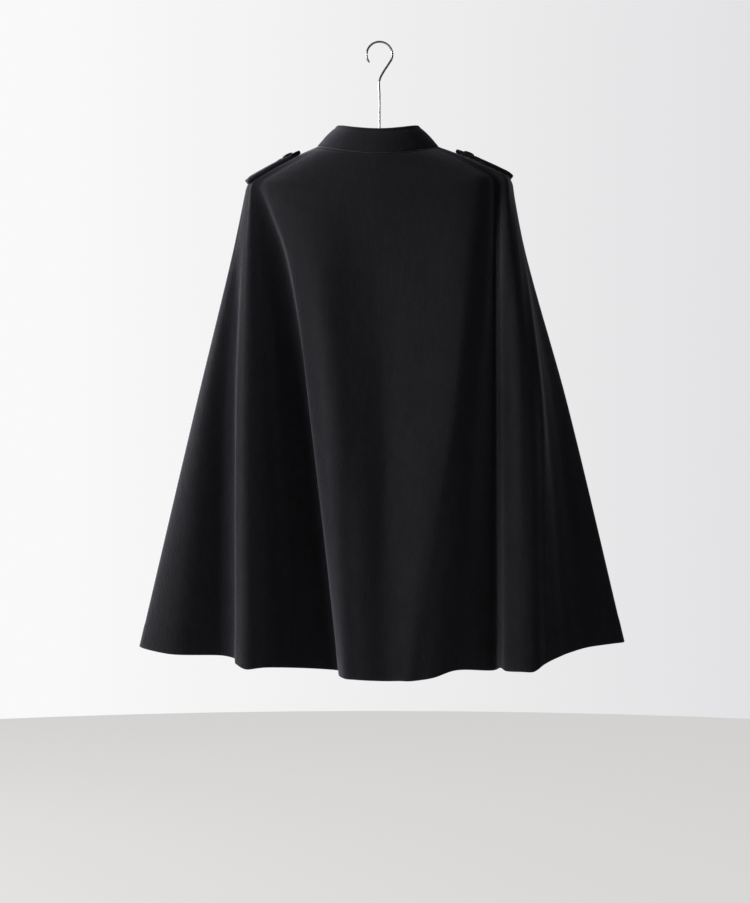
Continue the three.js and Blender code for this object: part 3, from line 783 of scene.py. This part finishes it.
def shoulderStrap(sideName, side):
    edge = strapBand["edge"]
    rows = np.linspace(strapBand["from"] + edge, strapBand["to"] - edge, strapBand["rows"])
    across = np.linspace(1, -1, strapBand["columns"])
    down = np.broadcast_to(rows[None, :], (len(across), len(rows))).copy()
    halfWidth = np.maximum(strapHalfWidth(down) - edge, 0.4)
    y = across[:, None] * halfWidth
    middle, out = strapSurface(side, down, y)
    # the line of stitching runs at one distance inside every edge
    sideGap = strapHalfWidth(down) - np.abs(y)
    endGap = np.minimum(strapBand["to"] - down, (down - strapBand["from"]) * 1.1 + 1)
    edgeGap = np.minimum(sideGap, endGap)
    dent = strapBand["stitchDent"] * np.exp(-((edgeGap - strapBand["stitchInset"]) / 1.3) ** 2)
    buttonGap = np.hypot(down - strapBand["from"] - strapButtons["fromPoint"], y)
    rim = strapButtons["radius"]
    press = strapButtons["sink"] * (1 - smoothStep(buttonGap, rim - 1, rim + 5))
    thick = strapBand["cloth"] / 2 - dent
    outer = middle + out * (thick - press)[..., None]
    inner = middle - out * thick[..., None]
    # the strap is drawn lighter at every edge: partly real rubbing, partly a painted highlight
    wearAndHighlight = np.exp(-edgeGap / 3)
    if side < 0:
        outer, inner, wearAndHighlight = outer[::-1], inner[::-1], wearAndHighlight[::-1]
    points, faces, allWearAndHighlight = shell(outer, inner, wearAndHighlight, edge, 5)
    strap = showMesh("strap_" + sideName, points, faces, wool, allWearAndHighlight)
    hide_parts("shoulder_strap_" + sideName)

    inset = strapBand["stitchInset"]
    tipDown = strapBand["from"] + inset * 0.95
    outline = []
    for share in np.linspace(0, 1, 60):
        d = strapBand["to"] - inset + (tipDown - strapBand["to"] + inset) * share
        outline.append((d, max(strapHalfWidth(np.array(d)) - inset, 0)))
    outline = outline + [(d, -w) for d, w in outline[::-1]] + [outline[0]]
    outline = np.array(outline)
    dense = np.concatenate([np.linspace(p, q, 4, endpoint=False) for p, q in zip(outline, outline[1:])])
    middle, out = strapSurface(side, dense[:, 0].copy(), dense[:, 1].copy())
    top = middle + out * (strapBand["cloth"] / 2 - strapBand["stitchDent"] + 0.1)
    thread = showMesh("strap_stitching_" + sideName, *joined(stitchRow(top, out)), sewingThread)
    return strap, thread

straps = {name: shoulderStrap(name, side) for name, side in (("left", 1), ("right", -1))}
print("shoulder straps made")


# buttons

horn = {
    "dark": "#120f0e",
    "brown": "#2c221d",
    "streak": 3.5,  # millimetres between the pale streaks
}

def polishedHorn():
    # Buffalo horn, sawn, turned and polished. The eye sees a brown-black with faint fibrous streaks and a
    # soft clear shine.
    material, tree = newMaterial("polishedHorn")
    place = addNode(tree, "ShaderNodeTexCoord").outputs["Object"]
    lie = addNode(tree, "ShaderNodeMapping", inputs={
        "Vector": place, "Rotation": (0.3, 0.2, 0.5), "Scale": (0.2, 1, 1)})
    streak = addNode(tree, "ShaderNodeTexNoise", inputs={
        "Vector": lie, "Scale": perMetre(horn["streak"]), "Detail": 5, "Roughness": 0.6, "Distortion": 0.8})
    ramp = addNode(tree, "ShaderNodeMapRange", inputs={"Value": streak, "From Min": 0.45, "From Max": 0.75})
    shade = addNode(tree, "ShaderNodeMix", {"data_type": "RGBA"}, {
        0: ramp, 6: linear(horn["dark"]), 7: linear(horn["brown"])})
    polish = addNode(tree, "ShaderNodeMapRange", inputs={
        "Value": streak, "To Min": 0.22, "To Max": 0.4})
    bump = addNode(tree, "ShaderNodeBump", inputs={"Height": streak, "Strength": 0.08, "Distance": 0.0002})
    surface = addNode(tree, "ShaderNodeBsdfPrincipled", inputs={
        "Base Color": shade.outputs[2], "Roughness": polish, "IOR": 1.54, "Normal": bump})
    addNode(tree, "ShaderNodeOutputMaterial", inputs={"Surface": surface})
    return material

hornFinish = polishedHorn()

def turnedButton(button):
    # a disc turned with a rounded rim and a dished face, standing on z = 0, with four holes through it
    r, h = button["radius"], button["height"]
    rim = r * 0.16
    dish = h * 0.3
    profile = [(0.001, 0), (r * 0.78, 0), (r * 0.9, h * 0.1), (r * 0.975, h * 0.3), (r, h * 0.5),
               (r * 0.985, h * 0.74), (r - rim * 0.3, h * 0.91), (r - rim * 0.7, h * 0.985),
               (r - rim * 1.05, h), (r - rim * 1.45, h * 0.955), (r - rim * 1.9, h * 0.84),
               (r * 0.62, h - dish * 0.95), (r * 0.5, h - dish * 1.04), (0.001, h - dish * 1.1)]
    tool = bmesh.new()
    sides = 72
    turns = [2 * math.pi * k / sides for k in range(sides)]
    rings = []
    for radius, z in profile:
        rings.append([tool.verts.new((radius * math.cos(a) * 0.001, radius * math.sin(a) * 0.001, z * 0.001))
                      for a in turns])
    for low, high in zip(rings, rings[1:]):
        for k in range(sides):
            tool.faces.new((low[k], low[(k + 1) % sides], high[(k + 1) % sides], high[k]))
    bmesh.ops.remove_doubles(tool, verts=tool.verts, dist=2e-6)
    bmesh.ops.recalc_face_normals(tool, faces=tool.faces)
    disc = bpy.data.meshes.new("buttonBlank")
    tool.to_mesh(disc)
    tool.free()
    drill = bmesh.new()
    for sx in (-1, 1):
        for sy in (-1, 1):
            made = bmesh.ops.create_cone(drill, cap_ends=True, segments=20, radius1=button["hole"] * 0.001,
                                         radius2=button["hole"] * 0.001, depth=0.02)
            offset = Vector((sx * button["holeSpread"], sy * button["holeSpread"], 0)) * 0.001
            bmesh.ops.translate(drill, verts=made["verts"], vec=offset)
    bits = bpy.data.meshes.new("drillBits")
    drill.to_mesh(bits)
    drill.free()
    discObject = bpy.data.objects.new("buttonBlank", disc)
    bitsObject = bpy.data.objects.new("drillBits", bits)
    for thing in (discObject, bitsObject):
        scene.collection.objects.link(thing)
    cut = discObject.modifiers.new("holes", "BOOLEAN")
    cut.operation = "DIFFERENCE"
    cut.solver = "EXACT"
    cut.object = bitsObject
    ready = discObject.evaluated_get(bpy.context.evaluated_depsgraph_get())
    drilled = bpy.data.meshes.new_from_object(ready)
    points = np.array([v.co[:] for v in drilled.vertices]) * 1000
    faces = [tuple(p.vertices) for p in drilled.polygons]
    for thing in (discObject, bitsObject):
        bpy.data.objects.remove(thing)
    return points, faces

def sewnThread(button):
    # two bars of doubled thread across the holes, lying in the dish
    spread = button["holeSpread"]
    floorZ = button["height"] * (1 - 0.3 * 1.05)
    parts = []
    for sy in (-1, 1):
        for strand in (-0.42, 0.0, 0.42):
            x = np.linspace(-spread - 0.15, spread + 0.15, 13)
            arch = np.cos(x / (spread + 0.15) * math.pi / 2) ** 0.5
            z = floorZ - 1.3 + 1.95 * np.clip(arch, 0, 1)
            y = sy * spread + strand * (1 - 0.25 * np.abs(x) / spread)
            parts.append(tube(np.stack([x, y, z], -1), 0.3, 8, flatten=(0, 1, 0)))
    return joined(parts)

def stand(points, at, out, turn=0.0):
    # stands a shape made on z = 0 at a place on the cloth, facing out
    z = unit(np.asarray(out, float))
    x = unit(np.cross([0, 0, 1.0], z))
    y = np.cross(z, x)
    c, s = math.cos(turn), math.sin(turn)
    basis = np.stack([c * x + s * y, -s * x + c * y, z])
    return points @ basis + at

def heightAt(z):
    low, high = 0.0, float(hemAt)
    for _ in range(30):
        middle = (low + high) / 2
        if clothPoint(float(centreFront), middle)[2] > z:
            low = middle
        else:
            high = middle
    return low

def buttonholeRing(length, width, seed, buttonAt, button, tuck):
    # the worked edge of a buttonhole: close stitches over a narrow slot
    steps = 150
    t = np.linspace(0, 1, steps, endpoint=False)
    straight = length - width
    total = 2 * straight + math.pi * width
    s = t * total
    path = np.zeros((steps, 3))
    for i, d in enumerate(s):
        if d < straight:
            path[i] = (-straight / 2 + d, -width / 2, 0)
        elif d < straight + math.pi * width / 2:
            a = (d - straight) / (width / 2) - math.pi / 2
            path[i] = (straight / 2 + math.cos(a) * width / 2, math.sin(a) * width / 2, 0)
        elif d < 2 * straight + math.pi * width / 2:
            path[i] = (straight / 2 - (d - straight - math.pi * width / 2), width / 2, 0)
        else:
            a = (d - 2 * straight - math.pi * width / 2) / (width / 2) + math.pi / 2
            path[i] = (-straight / 2 + math.cos(a) * width / 2, math.sin(a) * width / 2, 0)
    # under the button the stitches are pressed into the cloth
    rim = button["radius"]
    path[:, 2] = -tuck * (1 - smoothStep(np.abs(path[:, 0] - buttonAt), rim - 0.5, rim + 1.5))
    radii = 0.75 + 0.16 * np.sin(s * 2 * math.pi / 0.9 + seed)
    return tube(path, radii, 8, closed=True, flatten=(0, 0, 1))

buttonhole = {
    "length": 27,
    "strapLength": 20,
    "slot": 1.7,
    "tuck": 0.95,
}

frontShape = turnedButton(frontButtons)
frontThread = sewnThread(frontButtons)
threadParts = []
holeParts = []
for i in range(frontButtons["count"]):
    down = heightAt(frontButtons["topZ"] - i * frontButtons["spacing"])
    at, along, below, out = clothFrame(float(centreFront), down)
    lifted = at + out * clothForm["seamGap"]
    turn = (0.05, -0.09, 0.12, -0.03, 0.08)[i]
    name = "front_button_" + str(i + 1)
    piece = showMesh(name + "_horn", stand(frontShape[0], lifted, out, turn), frontShape[1], hornFinish)
    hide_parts(name)
    threadParts.append((stand(frontThread[0], lifted, out, turn), frontThread[1]))
    toButton = buttonhole["length"] / 2 - 3
    ring = buttonholeRing(buttonhole["length"], buttonhole["slot"], i, toButton, frontButtons,
                          buttonhole["tuck"])
    middle = at - np.array([toButton, 0, 0]) + out * 0.15
    holeParts.append((stand(ring[0], middle, out), ring[1]))

strapShape = turnedButton(strapButtons)
strapThread = sewnThread(strapButtons)
for sideName, side in (("left", 1), ("right", -1)):
    seam = leftSeam if side > 0 else rightSeam
    down = strapBand["from"] + strapButtons["fromPoint"]
    at, along, below, out = clothFrame(float(seam), float(down))
    lifted = at + out * (strapBand["lift"] + strapBand["cloth"] + clothForm["seamGap"] - strapButtons["sink"])
    name = "strap_button_" + sideName
    piece = showMesh(name + "_horn", stand(strapShape[0], lifted, out, 0.1 * side), strapShape[1], hornFinish)
    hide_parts(name)
    threadParts.append((stand(strapThread[0], lifted, out, 0.1 * side), strapThread[1]))
    toButton = buttonhole["strapLength"] / 2 - 3
    ring = buttonholeRing(buttonhole["strapLength"], buttonhole["slot"], side, -toButton, strapButtons,
                          buttonhole["tuck"] + strapButtons["sink"])
    middle = at + below * toButton + out * (strapBand["lift"] + strapBand["cloth"] + 0.1)
    # the hole runs along the strap
    z = unit(out)
    x = unit(below)
    y = np.cross(z, x)
    holeParts.append((ring[0] @ np.stack([x, y, z]) + middle, ring[1]))

buttonThread = showMesh("button_thread", *joined(threadParts), sewingThread)
buttonholes = showMesh("buttonhole_stitching", *joined(holeParts), sewingThread)
print("buttons and buttonholes made")


# hanger

hangerBar = {
    "hubTopZ": -146,
    "hubHalfWidth": 7,
    "hubHeight": 34,
    "endHalfWidth": 10,
    "endHeight": 20,
    "endAt": 112,
    "underCloth": 1,
    "sides": 28,
    "stations": 90,
    "bore": 24,
}
hookWire = {
    "radius": 1.6,
    "bend": 20,
    "shankTo": -58,
    "boreGap": 0.3,
}

beech = {
    "pale": "#c9a077",
    "dark": "#a97d52",
    "fleckColour": "#8a6138",
    "growthRing": 4.5,
    "fleck": 1.6,
}

def lacqueredBeech():
    # Steamed beech, turned to a bar, sanded and lacquered. The eye sees a warm pale brown with fine short
    # flecks along the bar and a low satin shine.
    material, tree = newMaterial("lacqueredBeech")
    place = addNode(tree, "ShaderNodeTexCoord").outputs["Object"]
    grainWay = addNode(tree, "ShaderNodeMapping", inputs={"Vector": place, "Scale": (0.06, 1, 1)})
    fleckWay = addNode(tree, "ShaderNodeMapping", inputs={"Vector": place, "Scale": (0.25, 1, 1)})
    grain = addNode(tree, "ShaderNodeTexNoise", inputs={
        "Vector": grainWay, "Scale": perMetre(beech["growthRing"]), "Detail": 5, "Distortion": 1.2})
    fleck = addNode(tree, "ShaderNodeTexVoronoi", inputs={
        "Vector": fleckWay, "Scale": perMetre(beech["fleck"])})
    shade = addNode(tree, "ShaderNodeMix", {"data_type": "RGBA"}, {
        0: grain, 6: linear(beech["dark"]), 7: linear(beech["pale"])})
    fleckFactor = addNode(tree, "ShaderNodeMapRange", inputs={
        "Value": fleck.outputs["Distance"], "From Min": 0.1, "From Max": 0.4, "To Min": 0.45, "To Max": 0})
    colour = addNode(tree, "ShaderNodeMix", {"data_type": "RGBA"}, {
        0: fleckFactor, 6: shade.outputs[2], 7: linear(beech["fleckColour"])})
    bump = addNode(tree, "ShaderNodeBump", inputs={"Height": grain, "Strength": 0.12, "Distance": 0.0003})
    wood = addNode(tree, "ShaderNodeBsdfPrincipled", inputs={
        "Base Color": colour.outputs[2], "Roughness": 0.42, "IOR": 1.5, "Coat Weight": 0.25,
        "Coat Roughness": 0.2, "Normal": bump})
    addNode(tree, "ShaderNodeOutputMaterial", inputs={"Surface": wood})
    return material

steel = {
    "pale": "#b4b7bb",
    "dark": "#8f9296",
    "drawLine": 0.4,
}

def drawnSteel():
    # Steel wire, drawn and bright plated. The eye sees a cool grey mirror broken up by fine lines along it.
    material, tree = newMaterial("drawnSteel")
    place = addNode(tree, "ShaderNodeTexCoord").outputs["Object"]
    drawWay = addNode(tree, "ShaderNodeMapping", inputs={"Vector": place, "Scale": (1, 1, 0.05)})
    scratch = addNode(tree, "ShaderNodeTexNoise", inputs={
        "Vector": drawWay, "Scale": perMetre(steel["drawLine"]), "Detail": 3})
    smear = addNode(tree, "ShaderNodeMapRange", inputs={"Value": scratch, "To Min": 0.18, "To Max": 0.38})
    shade = addNode(tree, "ShaderNodeMix", {"data_type": "RGBA"}, {
        0: scratch, 6: linear(steel["dark"]), 7: linear(steel["pale"])})
    bump = addNode(tree, "ShaderNodeBump", inputs={"Height": scratch, "Strength": 0.1, "Distance": 0.0001})
    wire = addNode(tree, "ShaderNodeBsdfPrincipled", inputs={
        "Base Color": shade.outputs[2], "Metallic": 1, "Roughness": smear, "Normal": bump})
    addNode(tree, "ShaderNodeOutputMaterial", inputs={"Surface": wire})
    return material

def openCurve(points, count):
    # a smooth curve through points, evenly spaced
    points = np.asarray(points, float)
    full = np.concatenate([2 * points[:1] - points[1:2], points, 2 * points[-1:] - points[-2:-1]])
    out = []
    for i in range(len(points) - 1):
        p0, p1, p2, p3 = full[i:i + 4]
        g0, g1, g2 = (math.sqrt(np.linalg.norm(a - b)) for a, b in ((p0, p1), (p1, p2), (p2, p3)))
        t1 = ((p1 - p0) / g0 - (p2 - p0) / (g0 + g1) + (p2 - p1) / g1) * g1
        t2 = ((p2 - p1) / g1 - (p3 - p1) / (g1 + g2) + (p3 - p2) / g2) * g1
        w = np.linspace(0, 1, 24, endpoint=False)[:, None]
        square = -3 * p1 + 3 * p2 - 2 * t1 - t2
        cube = 2 * p1 - 2 * p2 + t1 + t2
        out.append(p1 + t1 * w + square * w ** 2 + cube * w ** 3)
    out = np.concatenate(out + [points[-1:]])
    length = np.concatenate([[0], np.cumsum(np.linalg.norm(np.diff(out, axis=0), axis=-1))])
    even = np.linspace(0, length[-1], count)
    return np.stack([np.interp(even, length, out[:, k]) for k in range(3)], -1)

def hangerArms():
    stations = np.array([8, 24, 42, 60, 78, 94, 106, hangerBar["endAt"]], float)
    def underCloth(seam):
        point, along, below, out = clothFrame(np.full_like(stations, seam), stations)
        return point - out * (clothForm["bodyCloth"] + hangerBar["underCloth"])
    left = underCloth(leftSeam)[::-1]
    right = underCloth(rightSeam)
    inX, inZ = left[-1][0], left[-1][2]
    hub = hangerBar["hubTopZ"]
    rise = [(inX * share, hub + (inZ - hub) * share * share) for share in (0.62, 0.3)]
    middle = [(x, 0, z) for x, z in rise] + [(0, 0, hub)] + [(-x, 0, z) for x, z in rise[::-1]]
    top = np.concatenate([left, np.array(middle), right])
    top[:, 1] = 0
    line = openCurve(top, hangerBar["stations"])
    share = np.minimum(np.abs(line[:, 0]) / top[0][0], 1)
    halfWidth = hangerBar["hubHalfWidth"] + (hangerBar["endHalfWidth"] - hangerBar["hubHalfWidth"]) * share
    height = hangerBar["hubHeight"] + (hangerBar["endHeight"] - hangerBar["hubHeight"]) * np.sqrt(share)
    # the ends are rounded over
    fromEnd = np.minimum(np.arange(len(line)), np.arange(len(line))[::-1])
    close = np.array([0.55, 0.85, 0.97])
    swell = np.where(fromEnd < 3, close[np.minimum(fromEnd, 2)], 1)
    turn = np.linspace(0, 2 * math.pi, hangerBar["sides"], endpoint=False)
    y = (halfWidth * swell)[:, None] * np.sin(turn)[None, :]
    z = line[:, 2:3] - height[:, None] / 2 + (height * swell / 2)[:, None] * np.cos(turn)[None, :]
    x = np.broadcast_to(line[:, :1], y.shape)
    ring = np.stack([x, y, z], -1)
    sides = hangerBar["sides"]
    faces = []
    for i in range(len(line) - 1):
        for k in range(sides):
            n = (k + 1) % sides
            faces.append((i * sides + k, i * sides + n, (i + 1) * sides + n, (i + 1) * sides + k))
    faces.append(tuple(range(sides))[::-1])
    faces.append(tuple((len(line) - 1) * sides + k for k in range(sides)))
    return ring.reshape(-1, 3), faces

beechFinish = lacqueredBeech()
armPoints, armFaces = hangerArms()
arms = showMesh("hanger_beech_arms", armPoints, armFaces, beechFinish)
tool = bmesh.new()
tool.from_mesh(arms.data)
bmesh.ops.recalc_face_normals(tool, faces=tool.faces)
tool.to_mesh(arms.data)
tool.free()
bore = bmesh.new()
boreRadius = (hookWire["radius"] + hookWire["boreGap"]) * 0.001
bmesh.ops.create_cone(bore, cap_ends=True, segments=32, radius1=boreRadius, radius2=boreRadius,
                      depth=hangerBar["bore"] * 0.002)
bmesh.ops.translate(bore, verts=bore.verts, vec=(0, 0, hangerBar["hubTopZ"] * 0.001))
boreMesh = bpy.data.meshes.new("bore")
bore.to_mesh(boreMesh)
bore.free()
boreObject = bpy.data.objects.new("bore", boreMesh)
scene.collection.objects.link(boreObject)
cut = arms.modifiers.new("bore", "BOOLEAN")
cut.operation = "DIFFERENCE"
cut.solver = "EXACT"
cut.object = boreObject
bored = bpy.data.meshes.new_from_object(arms.evaluated_get(bpy.context.evaluated_depsgraph_get()))
arms.modifiers.clear()
arms.data = bored
bpy.data.objects.remove(boreObject)
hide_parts("hanger_arms")

def hookPath():
    centreZ = hookWire["radius"] - hookWire["bend"]
    foot = hangerBar["hubTopZ"] - hangerBar["bore"] + hookWire["boreGap"]
    points = [(0, 0, foot + (hookWire["shankTo"] - foot) * i / 5) for i in range(6)]
    for degrees in range(222, -41, -20):
        a = math.radians(degrees)
        points.append((hookWire["bend"] * math.cos(a), 0, centreZ + hookWire["bend"] * math.sin(a)))
    return openCurve(points, 170)

wirePath = hookPath()
wireRadii = np.full(len(wirePath), hookWire["radius"])
# the cut end is rounded off
wireRadii[-2:] = hookWire["radius"] * 0.85, hookWire["radius"] * 0.45
hook = showMesh("hanger_wire_hook", *tube(wirePath, wireRadii, 20), drawnSteel())
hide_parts("hanger_hook")
print("hanger made")
